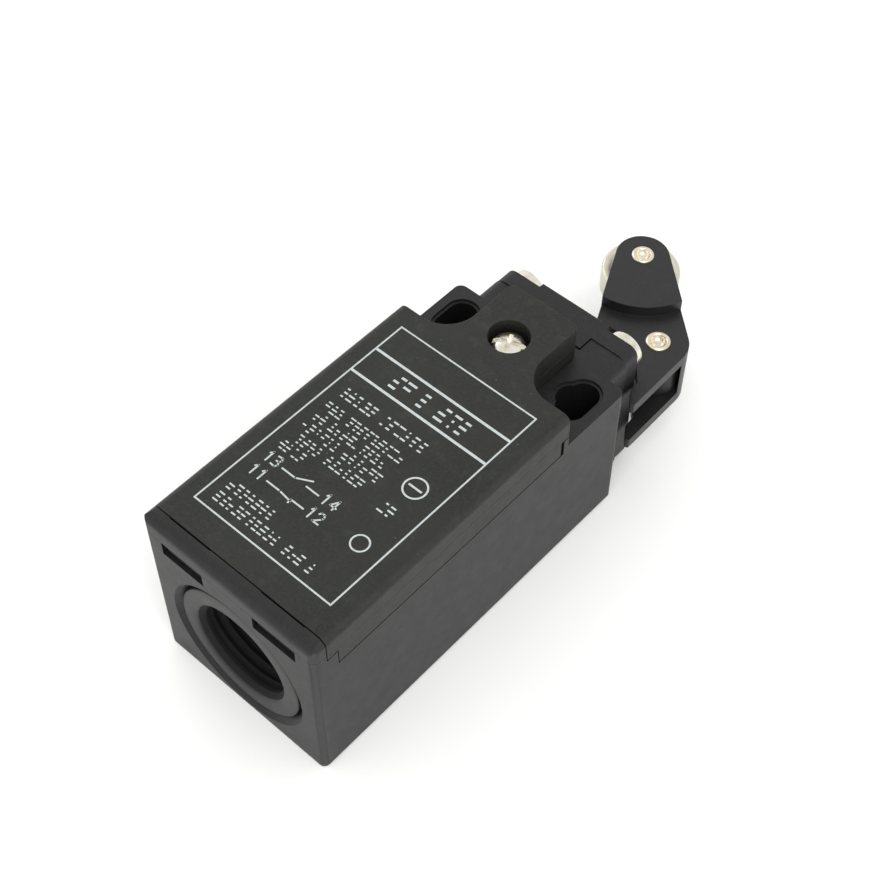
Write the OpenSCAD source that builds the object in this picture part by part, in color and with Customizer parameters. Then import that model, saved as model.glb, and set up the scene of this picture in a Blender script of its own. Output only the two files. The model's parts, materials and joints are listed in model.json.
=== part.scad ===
// Limit switch with a plastic case and a one-way horizontal roller lever.
// X runs across the case, Y from the cable entry to the head, Z from the mounting face to the cover.
// The origin is the middle of the two mounting holes, on the mounting face.

/* [Case] */
// Width of the case
case_w = 30; // [29:0.5:38]
// Length of the case, from the cable end to the end of the mounting ears
case_l = 59.7; // [56:0.1:74]
// Length of the cover's wide part, from the cable end
shoulder_y = 47.4; // [46.5:0.1:56]
// Height of the cover's face above the mounting face
case_h = 29.5; // [28:0.1:36]
// Height of the mounting ears
ear_h = 23.6; // [23:0.1:25]
// Thickness of the side walls
wall = 2.4; // [2.2:0.1:2.9]
// Thickness of the floor
floor_t = 3.2; // [2.6:0.1:4]
// Radius of the case's upright corners
corner_r = 1.2; // [1:0.1:2.4]
// Radius of the long edges of the cover's face
face_edge_r = 1.3; // [0.8:0.1:2.2]

/* [Mounting holes] */
// Distance of the mounting holes' row from the end of the ears
hole_end = 5.5; // [5:0.1:7]
// Spacing of the round holes
round_pitch = 20; // [19:0.1:21]
// Spacing of the slotted holes
slot_pitch = 22; // [21:0.1:23]
// Width of the holes and slots
hole_d = 4.4; // [3.4:0.1:4.6]
// Length of the slots
slot_l = 7.2; // [5:0.1:7.4]

/* [Cover] */
// Width of the cover's tongue
tongue_w = 12; // [10:0.1:13]
// Gap between the cover and the parts beside it
seam = 0.15; // [0.1:0.05:0.3]
// Thickness of the lip at the cable end
end_lip = 2.1; // [1.6:0.1:2.6]
// Depth to which the cover's side skirts reach below its face
skirt_h = 6.8; // [5.5:0.1:7.5]
// Width of each hook window
hook_w = 7.3; // [5:0.1:8]
// Distance of the hooks' middle from the centre line
hook_x = 8.05; // [6:0.05:8.5]
// Diameter of the cover screw's head
cover_screw_d = 4.7; // [4:0.1:5.6]

/* [Cable entry] */
// Thread diameter of the entry bush
entry_thread_d = 20; // [18:0.1:20.4]
// Bore of the entry bush
entry_bore_d = 14.4; // [12:0.1:15.5]
// Diameter of the bush's flange
bush_flange_d = 21.2; // [20.8:0.1:21.4]

/* [Head] */
// Height of the head's axis above the mounting face
axis_z = 12; // [11.9:0.1:12.5]
// Side of the head's square flange
head_w = 23.6; // [22:0.1:23.8]
// Length of the neck between the ears and the head
neck_l = 4.2; // [3.5:0.1:8]
// Thickness of the head's flange
flange_t = 2.7; // [2.2:0.1:3.2]
// Distance of the head screws from the head's axis, along X and along Z
head_screw_off = 8.9; // [8.7:0.1:9]
// Diameter of the plunger
plunger_d = 6; // [5:0.1:6.4]
// Travel of the plunger
travel = 2.8; // [2.5:0.1:2.9]

/* [Lever] */
// Distance of the lever's pivot from the head's axis
pivot_x = 9.7; // [9.2:0.1:10.2]
// Distance of the lever's pivot beyond the flange's face
pivot_rise = 8.3; // [8:0.1:9]
// Distance of the roller's axis from the pivot, along X
roller_dx = 11.2; // [10:0.1:12]
// Distance of the roller's axis from the pivot, along Y
roller_dy = 10.6; // [9.5:0.1:12]
// Overall thickness of the lever
lever_h = 9.8; // [9.6:0.1:10.6]
// Thickness of each of the lever's cheeks
cheek_t = 1.8; // [1.5:0.1:2]
// Step by which the roller fork stands up from the lever
fork_step = 1.9; // [1:0.1:2.4]
// Diameter of the roller
roller_d = 11.9; // [10:0.1:12.4]
// Width of the roller
roller_w = 4.2; // [3:0.1:4.6]
// Diameter of the pivot rivet's shank
pivot_d = 3.2; // [2.6:0.1:3.3]
// Diameter of the roller rivet's shank
roller_pin_d = 2.9; // [2.4:0.1:3]

/* [Contact block] */
// Length of the contact block
block_l = 19.4; // [19.4:0.1:20]
// Distance of the terminal screws from the centre line
terminal_x = 9.1; // [9:0.1:9.3]
// Diameter of the terminal screws' heads
terminal_head_d = 5.2; // [4.5:0.1:5.6]

/* [Hidden] */
$fn = 64;

// Clearances
slip = 0.08;       // round parts that slide in each other
thread_gap = 0.05; // screws and rivets in their own holes
loose = 0.3;       // moving parts beside fixed ones
over = 1;          // how far a cut runs past the face it opens
touch = 0.1;       // faces that meet when the switch works

// Case
half_w = case_w / 2;
cavity_x = half_w - wall;
cavity_y = 8;
hole_y = case_l - hole_end;
neck_end = case_l + neck_l;
tongue_end = case_l + 0.6;
tongue_fillet = 5;
tongue_corner = 1;
ear_corner = 1.2;
hole_ease = 0.4;
bottom_edge_r = 0.8;
lip_r = end_lip - 0.2;
rim_z = case_h - 4.1;
gasket_t = 1;
gasket_w = 1.1;
cover_base = rim_z + gasket_t;
cover_roof = case_h - 1.8;
skirt_z = case_h - skirt_h;
skirt_t = 1.1;
skirt_y0 = 4.1;
skirt_y1 = shoulder_y - 1.1;
head_wall = 2.6;
cavity_end = shoulder_y - head_wall;
gasket_y0 = cavity_y - gasket_w;
gasket_y1 = cavity_end + gasket_w;

// Hooks
hook_z = ear_h + 0.3;
hook_h = 2.4;
hook_leg = 1.1;
hook_reach = 1.5;
hook_gap = 0.2;

// Cover screw and its insert
screw_y = hole_y - 1.6;
recess_d = cover_screw_d + 1.2;
screw_seat = case_h - 3.1;
cover_screw_top = case_h - 1.1;
cover_shank_d = 3;
insert_d = 5;
insert_h = 6;
cover_screw_edge = 0.5;
cover_screw_slot_w = 0.8;
cover_screw_slot_h = 0.8;
cover_screw_cross_l = 3;
cover_screw_cross_h = 1.1;

// Cable entry
bush_recess = 0.4;
bush_flange_t = 1.25;
seal_t = 0.9;
seat_y = bush_recess + bush_flange_t + seal_t;
bush_l = 9.4;
mouth_d = bush_flange_d + 2.2;
mouth_l = bush_recess + 0.9;

// Head
flange_y = neck_end + flange_t;
pad_t = 0.8;
pad_w = 12;
snout_d = 11;
snout_l = 2;
key_w = 11;
key_l = 2.5;
key_h = 3.2;
head_corner = 1.6;
neck_w = 2 * head_screw_off + 6.2;
chamber_d = 9.6;
chamber_l = 9.4;
stem_d = 5;
guide_end = neck_end - chamber_l;
collar_d = 8.8;
collar_t = 1.5;
collar_y = neck_end - touch;
plunger_tip = flange_y + 5.8;
tip_d = 4.4;
tip_l = 0.8;
push_rod_d = 3.8;
rod_end = guide_end - 2.4;
seal_y0 = neck_end + 0.7;
seal_y1 = flange_y - 0.4;
head_gasket_d = 14.8;
head_gasket_t = 0.8;
screw_head_d = 5.5;
screw_head_h = 2;
screw_edge = 0.6;
screw_cross_l = 3;
screw_cross_w = 0.7;
screw_cross_h = 1.1;
screw_d = 3;
screw_end = neck_end - 5.3;

// Spring of the plunger
spring_wire = 0.7;
spring_d = 6.6;
spring_turns = 5;

// Lever
pivot_y = flange_y + pivot_rise;
roller_x = pivot_x - roller_dx;
roller_y = pivot_y + roller_dy;
lever_z0 = axis_z - lever_h / 2;
lever_z1 = axis_z + lever_h / 2;
fork_top = lever_z1 + fork_step;
fork_cheek = 2.6;
fork_gap = 0.2;
slot_top = fork_top - fork_cheek;
slot_bottom = slot_top - roller_w - 2 * fork_gap;
fork_bottom = slot_bottom - fork_cheek;
fork_r = 10.5;
fork_end_r = 4;
nose_y = plunger_tip + touch;
nose_x0 = 0.4;
nose_x1 = 3.4;
lever_side = half_w - 0.8;
lever_hub_r = lever_side - pivot_x;
tail_y = neck_end - 0.9;
hub_r = 3.7;
hub_room_gap = 0.7;
hub_h = lever_h - 2 * cheek_t - 2 * loose;
arm_x0 = pivot_x - hub_r + 0.2;
rivet_head_d = 3.7;
rivet_head_t = 0.3;
rivet_bore = 0.62;
rivet_cup = 1.1;
roller_slot_r = roller_d / 2 + 0.5;
roller_rim = 0.5;

// Contact block
block_x = cavity_x - loose;
block_y1 = cavity_end - 0.4;
block_y0 = block_y1 - block_l;
block_z0 = floor_t + 0.2;
block_top = axis_z + 3.5;
plate_t = 1;
plate_z = block_top + touch;
lid_x = 5.7;
lid_z = plate_z + plate_t + touch;
lid_t = 2;
well_x = 7.2;
well_z = axis_z - 2.9;
well_y0 = block_y0 + 2.4;
well_y1 = block_y1 - 2;
stem_w = 5.8;
stem_h = 5.6;
stem_y0 = block_y0 + 7.4;
stem_y1 = guide_end - 2.5;
tab_w = 2.6;
tab_x = 3.7;
tab_t = 0.8;
nc_y = block_y1 - 3.4;
no_y = block_y0 + 5.2;
bridge_x = 6.2;
bridge_t = 0.6;
bridge_h = 3;
point_d = 2.4;
point_t = 0.6;
contact_spring_d = 2.4;
contact_wire = 0.35;
stem_spring_d = 4;
stem_wire = 0.4;
nc_term_y = nc_y - 2.1;
no_term_y = no_y - 0.3;
plate_w = 5.6;
plate_x1 = block_x - 0.3;
block_screw_y = block_y0 - 2.6;
block_screw_x = block_x - 3;
lug_r = 2.8;
lug_h = 3;
block_screw_d = 2.4;
block_screw_head_d = 4.6;
block_screw_head_h = 1.6;
block_screw_z = 1;
terminal_d = 3;
terminal_head_h = 1.9;
terminal_hole_z = block_z0 + 3;
driver_slot_h = 0.9;
clamp_w = 5.4;
clamp_t = 1;
clamp_z = plate_z + plate_t + touch;
terminal_seat = clamp_z + clamp_t + touch;

// Height, width and place of what the plunger moves: the bridges' plates at rest
nc_plate_y = nc_y - touch - point_t - bridge_t;
no_plate_y = no_y + travel + touch + point_t;

// Everything below is drawn with Y measured from the cable end.
module placed() translate([0, -hole_y, 0]) children();

module rounded(w, l, r) {
    square([w - 2 * r, l], center = true);
    square([w, l - 2 * r], center = true);
    for (x = [-1, 1], y = [-1, 1])
        translate([x * (w / 2 - r), y * (l / 2 - r)]) circle(r);
}

module slab(w, y0, y1, z0, z1)
    translate([-w / 2, y0, z0]) cube([w, y1 - y0, z1 - z0]);

// A round bar along Y
module bar_y(d, y0, y1, x = 0, z = axis_z)
    translate([x, y0, z]) rotate([-90, 0, 0]) cylinder(d = d, h = y1 - y0);

// An outline in X and Z, drawn out along Y
module along_y(y0, y1)
    translate([0, y1, 0]) rotate([90, 0, 0]) linear_extrude(y1 - y0) children();

// Two copies, one on each side of the centre line
module both_sides() {
    children();
    mirror([1, 0, 0]) children();
}

// The case's section: rounded along the bottom and along the face
module case_section(h, edge_r) {
    translate([-half_w + bottom_edge_r, 0]) square([case_w - 2 * bottom_edge_r, h / 2]);
    translate([-half_w, bottom_edge_r]) square([case_w, h / 2]);
    translate([-half_w, h / 2]) square([case_w, h / 2 - edge_r]);
    translate([-half_w + edge_r, h / 2]) square([case_w - 2 * edge_r, h / 2]);
    for (x = [-1, 1]) {
        translate([x * (half_w - bottom_edge_r), bottom_edge_r]) circle(bottom_edge_r);
        translate([x * (half_w - edge_r), h - edge_r]) circle(edge_r);
    }
}

// A helical spring along Y, swept as rings round its wire
module spring_y(mean_d, wire_d, y0, y1, turns) {
    sides = 8;
    steps = 16;
    rings = turns * steps;
    wire_r = wire_d / 2;
    pitch = (y1 - y0 - wire_d) / turns;
    points = [
        for (i = [0 : rings], j = [0 : sides - 1])
            let (a = i * 360 / steps, b = j * 360 / sides, r = mean_d / 2 + wire_r * cos(b))
                [r * cos(a), y0 + wire_r + pitch * i / steps + wire_r * sin(b), r * sin(a)]
    ];
    skins = [
        for (i = [0 : rings - 1], j = [0 : sides - 1])
            let (k = (j + 1) % sides)
                [i * sides + j, i * sides + k, (i + 1) * sides + k, (i + 1) * sides + j]
    ];
    start_cap = [[for (j = [0 : sides - 1]) sides - 1 - j]];
    end_cap = [[for (j = [0 : sides - 1]) rings * sides + j]];
    translate([0, 0, axis_z]) polyhedron(points, concat(skins, start_cap, end_cap));
}

// ---- Case ----

module hole_outline(grow = 0) {
    r = hole_d / 2 + grow;
    straight = slot_l - hole_d;
    translate([round_pitch / 2, hole_y]) circle(r);
    for (y = [-1, 1])
        translate([slot_pitch / 2, hole_y + y * straight / 2]) circle(r);
    translate([slot_pitch / 2, hole_y]) square([2 * r, straight], center = true);
}

module case_plan(y1, end_r) {
    length = y1 + 2 * corner_r;
    intersection() {
        translate([0, length / 2]) rounded(case_w, length, corner_r);
        translate([-case_w, 0]) square([2 * case_w, y1 - end_r]);
    }
    translate([0, y1 - 2 * end_r]) rounded(case_w, 4 * end_r, end_r);
}

module lip_section() {
    square([end_lip, case_h - lip_r]);
    translate([lip_r, 0]) square([end_lip - lip_r, case_h]);
    translate([lip_r, case_h - lip_r]) intersection() {
        circle(lip_r);
        translate([-lip_r, 0]) square(lip_r);
    }
}

module case_shell() {
    intersection() {
        along_y(0, case_l) case_section(case_h, face_edge_r);
        union() {
            linear_extrude(ear_h) case_plan(case_l, ear_corner);
            linear_extrude(rim_z - seam) intersection() {
                case_plan(case_l, ear_corner);
                translate([-case_w, 0]) square([2 * case_w, shoulder_y]);
            }
            intersection() {
                rotate([90, 0, 90]) translate([0, 0, -half_w]) linear_extrude(case_w) lip_section();
                linear_extrude(case_h) case_plan(case_l, ear_corner);
            }
        }
    }
    // inner rim that carries the gasket
    slab(2 * (half_w - skirt_t - seam), skirt_y0, gasket_y1, rim_z - 1, rim_z);
    along_y(case_l - over, neck_end)
        translate([0, ear_h / 2]) rounded(neck_w, ear_h, head_corner);
}

module hook_windows(grow) {
    both_sides() {
        translate([hook_x - hook_w / 2 - grow, -over, hook_z])
            cube([hook_w + 2 * grow, end_lip + 2 * over, hook_h]);
        translate([hook_x - hook_w / 2 - grow, end_lip - touch, hook_z])
            cube([hook_w + 2 * grow, hook_leg + touch + 2 * hook_gap, case_h]);
    }
}

module housing() {
    color([0.16, 0.16, 0.155]) placed() difference() {
        case_shell();
        // space for the wires and the contact block
        slab(2 * cavity_x, cavity_y, cavity_end, floor_t, case_h + over);
        // rebate for the cover's skirts
        both_sides()
            translate([half_w - skirt_t - seam, skirt_y0 - seam, skirt_z - seam])
                cube([wall + over, skirt_y1 - skirt_y0 + 2 * seam, case_h]);
        hook_windows(0);
        // mounting holes with their eased mouths
        both_sides() {
            translate([0, 0, -over]) linear_extrude(ear_h + 2 * over) hole_outline();
            translate([0, 0, ear_h - hole_ease]) linear_extrude(over) hole_outline(hole_ease);
        }
        // cable entry
        bar_y(entry_thread_d + 2 * thread_gap, -over, bush_l + loose);
        bar_y(bush_flange_d + 2 * thread_gap, -over, seat_y);
        translate([0, 0, axis_z]) rotate([-90, 0, 0])
            cylinder(d1 = mouth_d, d2 = bush_flange_d + 2 * thread_gap, h = mouth_l);
        // guide of the stem and chamber of the plunger's spring
        bar_y(stem_d + 2 * slip, cavity_end - over, guide_end + touch);
        bar_y(chamber_d, guide_end, neck_end + over);
        // cover screw insert
        translate([0, screw_y, ear_h - insert_h]) cylinder(d = insert_d, h = insert_h + over);
        // head screws and the head's key
        for (x = [-1, 1], z = [-1, 1])
            bar_y(screw_d + 2 * thread_gap, screw_end - touch, neck_end + over,
                x * head_screw_off, axis_z + z * head_screw_off);
        slab(key_w + 2 * seam, neck_end - key_l - seam, neck_end + over, ear_h - key_h - seam, case_h);
        // contact block screws
        both_sides() translate([block_screw_x, block_screw_y, block_screw_z - touch])
            cylinder(d = block_screw_d + 2 * thread_gap, h = floor_t);
    }
}

// ---- Cover ----

module cover_plan() {
    translate([-half_w, end_lip + seam]) square([case_w, shoulder_y - end_lip - seam]);
    difference() {
        translate([-tongue_w / 2 - tongue_fillet, shoulder_y - touch])
            square([tongue_w + 2 * tongue_fillet, tongue_fillet + touch]);
        for (x = [-1, 1])
            translate([x * (tongue_w / 2 + tongue_fillet), shoulder_y + tongue_fillet])
                circle(tongue_fillet);
    }
    translate([0, (shoulder_y + tongue_end) / 2 - tongue_corner])
        rounded(tongue_w, tongue_end - shoulder_y + 2 * tongue_corner, tongue_corner);
}

module cover_hook() {
    leg_y = end_lip + hook_gap;
    translate([hook_x - hook_w / 2 + hook_gap, leg_y, hook_z + hook_gap])
        cube([hook_w - 2 * hook_gap, hook_leg, cover_base - hook_z]);
    translate([hook_x - hook_w / 2 + hook_gap, end_lip - hook_reach, hook_z + hook_gap])
        cube([hook_w - 2 * hook_gap, hook_reach + hook_leg, hook_h - 2 * hook_gap]);
}

module cover_body() {
    intersection() {
        along_y(0, neck_end) case_section(case_h, face_edge_r);
        linear_extrude(case_h) cover_plan();
        union() {
            slab(case_w, 0, neck_end, cover_base, case_h);
            // the part that closes the case's end above the ears
            slab(case_w, gasket_y1 + seam, neck_end, ear_h + seam, case_h);
            slab(case_w, 0, gasket_y0 - seam, rim_z, case_h);
            both_sides() translate([half_w - skirt_t, 0, rim_z])
                cube([skirt_t, shoulder_y, case_h]);
            both_sides() translate([half_w - skirt_t, skirt_y0, skirt_z])
                cube([skirt_t, skirt_y1 - skirt_y0, case_h]);
        }
    }
}

module cover() {
    color([0.17, 0.17, 0.16]) placed() {
        difference() {
            cover_body();
            slab(2 * cavity_x, cavity_y, cavity_end, ear_h, cover_roof);
            // the case's rim stands up inside the shoulder
            slab(case_w + over, gasket_y1, shoulder_y + seam, ear_h - over, rim_z);
            translate([0, screw_y, screw_seat]) cylinder(d = recess_d, h = case_h);
            translate([0, screw_y, ear_h - over]) cylinder(d = cover_shank_d + loose, h = case_h);
        }
        both_sides() cover_hook();
    }
}

module cover_gasket() {
    length = gasket_y1 - gasket_y0;
    color([0.09, 0.09, 0.09]) placed()
        translate([0, (gasket_y0 + gasket_y1) / 2, rim_z]) linear_extrude(gasket_t) difference() {
            rounded(2 * (cavity_x + gasket_w), length, 1);
            square([2 * cavity_x, length - 2 * gasket_w], center = true);
        }
}

module cover_screw() {
    color([0.75, 0.72, 0.64]) placed() translate([0, screw_y, 0]) difference() {
        union() {
            translate([0, 0, screw_seat])
                cylinder(d = cover_screw_d, h = cover_screw_top - screw_seat - cover_screw_edge);
            translate([0, 0, cover_screw_top - cover_screw_edge])
                cylinder(d1 = cover_screw_d, d2 = cover_screw_d - 1.6, h = cover_screw_edge);
            translate([0, 0, ear_h - insert_h + loose])
                cylinder(d = cover_shank_d - 2 * thread_gap, h = screw_seat - ear_h + insert_h);
        }
        // combination slot and cross
        translate([0, 0, cover_screw_top]) {
            slab(2 * cover_screw_d, -cover_screw_slot_w / 2, cover_screw_slot_w / 2,
                -cover_screw_slot_h, over);
            slab(cover_screw_slot_w, -cover_screw_cross_l / 2, cover_screw_cross_l / 2,
                -cover_screw_cross_h, over);
        }
    }
}

module cover_screw_insert() {
    color([0.72, 0.58, 0.28]) placed() translate([0, screw_y, ear_h - insert_h]) difference() {
        cylinder(d = insert_d - 2 * thread_gap, h = insert_h);
        translate([0, 0, -over]) cylinder(d = cover_shank_d, h = insert_h + 2 * over);
    }
}

// ---- Cable entry ----

module entry_bush() {
    color([0.2, 0.2, 0.19]) placed() difference() {
        union() {
            bar_y(bush_flange_d, bush_recess, bush_recess + bush_flange_t);
            bar_y(entry_thread_d, bush_recess, bush_l);
        }
        bar_y(entry_bore_d, -over, bush_l + over);
    }
}

module entry_seal() {
    color([0.07, 0.07, 0.07]) placed() difference() {
        bar_y(bush_flange_d, seat_y - seal_t + touch / 2, seat_y - touch / 2);
        bar_y(entry_thread_d + 2 * thread_gap, 0, seat_y + over);
    }
}

// ---- Head ----

module head_body() {
    along_y(neck_end, flange_y)
        translate([0, axis_z]) rounded(head_w, head_w, head_corner);
    along_y(flange_y - over, flange_y + pad_t)
        translate([0, axis_z]) square([pad_w, head_w - touch], center = true);
    slab(key_w, neck_end - key_l, neck_end + over, ear_h - key_h, axis_z + head_w / 2);
    bar_y(snout_d, flange_y - over, flange_y + snout_l);
    // arm and hub that carry the lever
    translate([arm_x0, flange_y - over, axis_z - hub_h / 2])
        cube([pivot_x + 1 - arm_x0, pivot_y - flange_y + over, hub_h]);
    translate([pivot_x, pivot_y, axis_z - hub_h / 2]) cylinder(r = hub_r, h = hub_h);
}

module head() {
    color([0.16, 0.16, 0.155]) placed() difference() {
        head_body();
        bar_y(plunger_d + 2 * slip, neck_end - over, flange_y + snout_l + over);
        bar_y(chamber_d, neck_end - over, seal_y1);
        bar_y(head_gasket_d, neck_end - over, neck_end + head_gasket_t);
        for (x = [-1, 1], z = [-1, 1])
            bar_y(screw_d + 2 * thread_gap, neck_end - over, flange_y + over,
                x * head_screw_off, axis_z + z * head_screw_off);
        translate([pivot_x, pivot_y, 0]) cylinder(d = pivot_d + 2 * slip, h = case_h);
    }
}

module head_gasket() {
    color([0.08, 0.08, 0.08]) placed() difference() {
        bar_y(head_gasket_d - 0.2, neck_end, neck_end + head_gasket_t - thread_gap);
        bar_y(chamber_d + 0.6, neck_end - over, neck_end + over);
    }
}

module head_screws() {
    color([0.75, 0.73, 0.66]) placed()
        for (x = [-1, 1], z = [-1, 1])
            translate([x * head_screw_off, 0, axis_z + z * head_screw_off]) difference() {
                union() {
                    bar_y(screw_head_d, flange_y, flange_y + screw_head_h - screw_edge, 0, 0);
                    translate([0, flange_y + screw_head_h - screw_edge, 0]) rotate([-90, 0, 0])
                        cylinder(d1 = screw_head_d, d2 = screw_head_d - 2, h = screw_edge);
                    bar_y(screw_d, screw_end, flange_y + touch, 0, 0);
                }
                for (a = [0, 90]) rotate([0, a, 0])
                    slab(screw_cross_l, flange_y + screw_head_h - screw_cross_h,
                        flange_y + screw_head_h + over, -screw_cross_w / 2, screw_cross_w / 2);
            }
}

module plunger() {
    color([0.76, 0.74, 0.68]) placed() {
        bar_y(plunger_d, collar_y - collar_t, plunger_tip - tip_l);
        translate([0, plunger_tip - tip_l, axis_z]) rotate([-90, 0, 0])
            cylinder(d1 = plunger_d, d2 = tip_d, h = tip_l);
        bar_y(collar_d, collar_y - collar_t, collar_y);
        bar_y(push_rod_d, rod_end, collar_y);
    }
}

module plunger_seal() {
    color([0.07, 0.07, 0.07]) placed() difference() {
        bar_y(chamber_d - 2 * thread_gap, seal_y0, seal_y1);
        bar_y(plunger_d + 2 * slip, neck_end, flange_y);
    }
}

module plunger_spring()
    color([0.7, 0.7, 0.7]) placed()
        spring_y(spring_d, spring_wire, guide_end + touch, collar_y - collar_t - touch, spring_turns);

// ---- Lever ----

module fork_disc(r) translate([roller_x, roller_y]) circle(r);

// The lever seen along its pivot
module lever_plan() {
    slope = atan2(roller_dy, roller_dx);
    side = lever_hub_r;
    crook_r = 5;
    tail_in = head_w / 2 + 0.6;
    out = [cos(90 - slope), sin(90 - slope)];
    left = [cos(206), sin(206)];
    polygon(concat(
        [
            [nose_x0, nose_y],
            [roller_x + fork_end_r * left[0], roller_y + fork_end_r * left[1]],
            [roller_x, roller_y],
            [roller_x + fork_end_r * out[0], roller_y + fork_end_r * out[1]],
            [pivot_x + side * out[0], pivot_y + side * out[1]],
            [pivot_x, pivot_y],
            [lever_side, pivot_y],
            [lever_side + 0.2, tail_y + 0.3],
            [lever_side - 0.3, tail_y],
            [tail_in, tail_y + 2],
            [tail_in - 0.2, flange_y + 0.3]
        ],
        [
            for (a = [25 : 13 : 90])
                [nose_x0 + 4.9 + crook_r * cos(a), nose_y - crook_r + crook_r * sin(a)]
        ]
    ));
    translate([pivot_x, pivot_y]) circle(side);
    fork_disc(fork_end_r);
}

// What stays clear of the head's hub and arm over the whole swing
module hub_room() {
    translate([pivot_x, pivot_y]) circle(hub_r + hub_room_gap);
    polygon([
        [nose_x1, tail_y - over], [nose_x1, nose_y + 0.2],
        [pivot_x - hub_r - hub_room_gap, pivot_y + hub_room_gap], [pivot_x, pivot_y],
        [half_w + over, pivot_y], [half_w + over, tail_y - over]
    ]);
}

module lever() {
    color([0.15, 0.15, 0.15]) placed() difference() {
        union() {
            translate([0, 0, lever_z0]) linear_extrude(cheek_t) lever_plan();
            translate([0, 0, lever_z1 - cheek_t]) linear_extrude(cheek_t) lever_plan();
            translate([0, 0, lever_z0]) linear_extrude(lever_h) difference() {
                lever_plan();
                hub_room();
            }
            translate([0, 0, lever_z1 - over]) linear_extrude(fork_top - lever_z1 + over)
                intersection() {
                    lever_plan();
                    fork_disc(fork_r);
                }
        }
        // slot of the roller, and the step under the fork
        translate([0, 0, slot_bottom]) linear_extrude(slot_top - slot_bottom)
            fork_disc(roller_slot_r);
        translate([0, 0, lever_z0 - over]) linear_extrude(fork_bottom - lever_z0 + over)
            fork_disc(fork_r);
        translate([pivot_x, pivot_y, 0]) cylinder(d = pivot_d + 2 * thread_gap, h = case_h);
        translate([roller_x, roller_y, 0]) cylinder(d = roller_pin_d + 2 * thread_gap, h = case_h);
    }
}

// A rivet along Z with a rolled rim and a cup at each end
module rivet(d, z0, z1) {
    rim = rivet_head_d - (pivot_d - d);
    difference() {
        union() {
            translate([0, 0, z0 - rivet_head_t]) cylinder(d = d, h = z1 - z0 + 2 * rivet_head_t);
            translate([0, 0, z0 - rivet_head_t]) cylinder(d1 = rim - 0.5, d2 = rim, h = rivet_head_t);
            translate([0, 0, z1]) cylinder(d1 = rim, d2 = rim - 0.5, h = rivet_head_t);
        }
        for (z = [z0 - rivet_head_t - over, z1 + rivet_head_t - rivet_cup])
            translate([0, 0, z]) cylinder(d = d * rivet_bore, h = rivet_cup + over);
    }
}

module pivot_rivet()
    color([0.76, 0.72, 0.62]) placed()
        translate([pivot_x, pivot_y, 0]) rivet(pivot_d, lever_z0, lever_z1);

module roller_rivet()
    color([0.76, 0.72, 0.62]) placed()
        translate([roller_x, roller_y, 0]) rivet(roller_pin_d, fork_bottom, fork_top);

module roller() {
    color([0.74, 0.71, 0.6]) placed() translate([roller_x, roller_y, slot_bottom + fork_gap]) difference() {
        union() {
            cylinder(d1 = roller_d - 2 * roller_rim, d2 = roller_d, h = roller_rim);
            translate([0, 0, roller_rim]) cylinder(d = roller_d, h = roller_w - 2 * roller_rim);
            translate([0, 0, roller_w - roller_rim]) cylinder(d1 = roller_d, d2 = roller_d - 2 * roller_rim, h = roller_rim);
        }
        translate([0, 0, -over]) cylinder(d = roller_pin_d + 2 * slip, h = roller_w + 2 * over);
    }
}

// ---- Contacts ----

module terminal_places()
    for (x = [-1, 1], y = [nc_term_y, no_term_y]) translate([x * terminal_x, y, 0]) children();

module contact_block() {
    color([0.62, 0.6, 0.55]) placed() difference() {
        union() {
            slab(2 * block_x, block_y0, block_y1, block_z0, block_top);
            both_sides() {
                translate([block_screw_x, block_screw_y, block_z0]) cylinder(r = lug_r, h = lug_h);
                translate([block_screw_x - lug_r, block_screw_y, block_z0])
                    cube([2 * lug_r, block_y0 - block_screw_y + touch, lug_h]);
            }
        }
        slab(2 * well_x, well_y0, well_y1, well_z, block_top + over);
        slab(stem_w + 2 * slip, well_y1 - touch, block_y1 + over, well_z, block_top + over);
        both_sides() translate([block_screw_x, block_screw_y, 0])
            cylinder(d = block_screw_d + loose, h = block_top);
        terminal_places() translate([0, 0, terminal_hole_z])
            cylinder(d = terminal_d + 2 * thread_gap, h = block_top);
    }
}

module contact_block_lid() {
    color([0.8, 0.78, 0.72]) placed() {
        slab(2 * lid_x, block_y0 + 0.4, block_y1 - 0.4, lid_z, lid_z + lid_t);
        slab(5, block_y0 + 0.4, well_y0 - 0.2, block_top, lid_z);
        both_sides() translate([3.4, well_y1 + 0.2, block_top]) cube([2, 1.2, lid_z - block_top]);
    }
}

module contact_block_screws() {
    head_z = block_z0 + lug_h;
    color([0.75, 0.73, 0.66]) placed() both_sides()
        translate([block_screw_x, block_screw_y, 0]) difference() {
            union() {
                translate([0, 0, block_screw_z]) cylinder(d = block_screw_d, h = head_z);
                translate([0, 0, head_z]) cylinder(d = block_screw_head_d, h = block_screw_head_h);
            }
            slab(2 * block_screw_head_d, -block_screw_d / 8, block_screw_d / 8,
                head_z + block_screw_head_h - driver_slot_h, head_z + block_screw_head_h + over);
        }
}

module stem_spring()
    color([0.7, 0.7, 0.7]) placed()
        spring_y(stem_spring_d, stem_wire, well_y0 + touch, stem_y0 - touch, 3);

module contact_stem() {
    window_w = bridge_h + 0.4;
    nc_window = [nc_plate_y - 1.8, nc_plate_y + bridge_t + touch];
    no_window = [no_plate_y - touch, no_plate_y + bridge_t + 2];
    color([0.85, 0.83, 0.76]) placed() difference() {
        union() {
            slab(stem_w, stem_y0, cavity_end - 0.2, axis_z - stem_h / 2, axis_z + stem_h / 2);
            bar_y(stem_d, cavity_end - over, stem_y1);
        }
        for (w = [nc_window, no_window])
            slab(stem_w + 2 * over, w[0], w[1], axis_z - window_w / 2, axis_z + window_w / 2);
    }
}

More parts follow.
